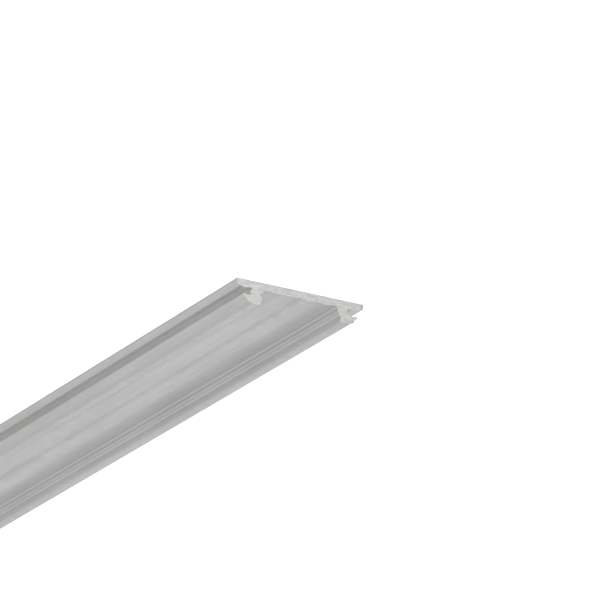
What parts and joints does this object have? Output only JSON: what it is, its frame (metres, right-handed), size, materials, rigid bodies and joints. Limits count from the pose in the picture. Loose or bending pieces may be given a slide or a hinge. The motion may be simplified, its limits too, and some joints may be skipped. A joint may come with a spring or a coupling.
{
  "type": "led strip aluminium profile",
  "caption": "Flat aluminium extrusion that carries an LED strip: wide shallow channel between low snap ribs with outward barbs and inner steps, V drill line, sawn ends.",
  "frame": {"origin": "centre of the flat back, half way along the bar", "axes": "+Y along the bar, +X across the base strip, +Z out of the channel, from the flat back towards the tops of the ribs"},
  "size_m": [0.03, 0.5, 0.005],
  "materials": {
    "mill_aluminium": "mill finish, satin, with fine lengthwise die lines; sawn ends lighter and rough"
  },
  "bodies": {
    "root": {"profile": "mill_aluminium"}
  },
  "joints": []
}
